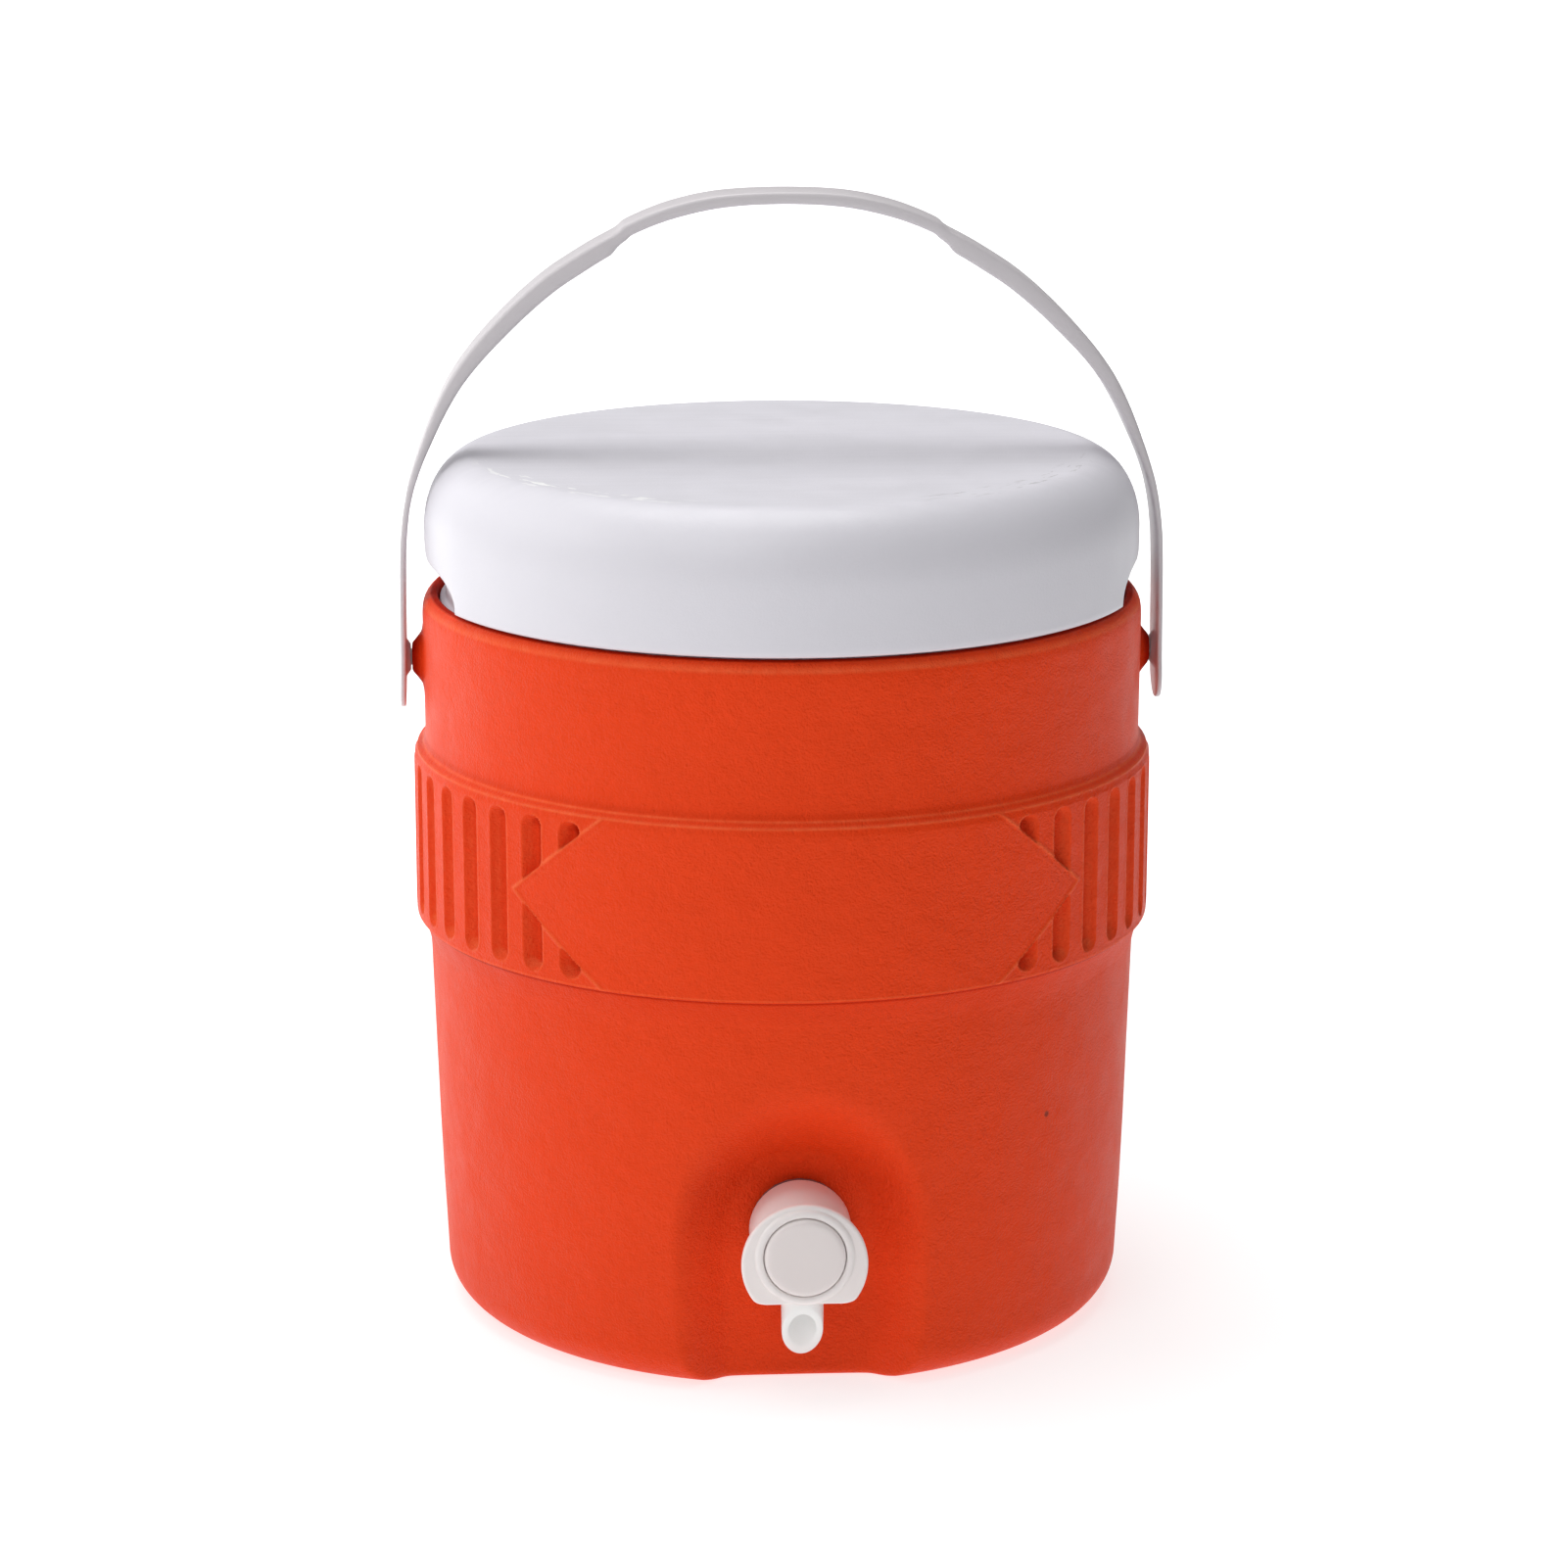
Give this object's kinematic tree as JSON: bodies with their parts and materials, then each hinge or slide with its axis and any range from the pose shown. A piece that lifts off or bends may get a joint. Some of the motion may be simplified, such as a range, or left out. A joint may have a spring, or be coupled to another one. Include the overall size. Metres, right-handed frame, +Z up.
{
  "type": "beverage dispenser",
  "caption": "Round insulated drinks jug with a ribbed grip band, lift-off lid with finger wells, swinging strap bail and a push-button tap low on the front.",
  "frame": {"origin": "centre of the base, on the axis of the jug, where it rests", "axes": "+Z up along the axis of the jug, towards the lid and the raised bail; -Y towards the front, where the tap is; X along the bail's pivot axis"},
  "size_m": [0.2524, 0.2522, 0.3705],
  "materials": {
    "casing": "satin orange polyethylene with a fine moulded grain",
    "foam": "matte cream insulation foam",
    "tank": "smooth white food-grade plastic",
    "socket": "smooth natural plastic",
    "lid": "satin white polyethylene with a fine grain",
    "seal": "matte grey silicone rubber",
    "handle": "smooth satin white polypropylene",
    "tap": "smooth satin white polypropylene",
    "spring": "bright stainless steel"
  },
  "bodies": {
    "jug": {"outer_shell": "casing", "body_foam": "foam", "inner_liner": "tank", "pivot_socket_left": "socket", "pivot_socket_right": "socket", "tap_body": "tap", "tap_flange": "tap", "stem_oring": "seal", "outer_gasket": "seal", "inner_gasket": "seal", "lock_nut": "tap", "tap_spring": "spring"},
    "lid": {"lid_shell": "lid", "lid_foam": "foam", "lid_plug": "lid", "lid_gasket": "seal"},
    "bail": {"bail_handle": "handle"},
    "button": {"tap_button": "tap", "tap_stem": "tap", "valve_seal": "seal", "stem_clip": "spring"}
  },
  "joints": [
    {"name": "bail_swing", "type": "hinge", "parent": "jug", "child": "bail", "pos_m": [0, 0, 0.2175], "axis": [1, 0, 0], "range_deg": [-115, 115]},
    {"name": "lid_lift", "type": "slide", "parent": "jug", "child": "lid", "axis": [0, 0, 1], "range_m": [0, 0.0114]},
    {"name": "button_press", "type": "slide", "parent": "jug", "child": "button", "axis": [0, 1, 0], "range_m": [0, 0.004], "stiffness_N_per_m": 400, "deforming": ["tap_spring"]}
  ]
}
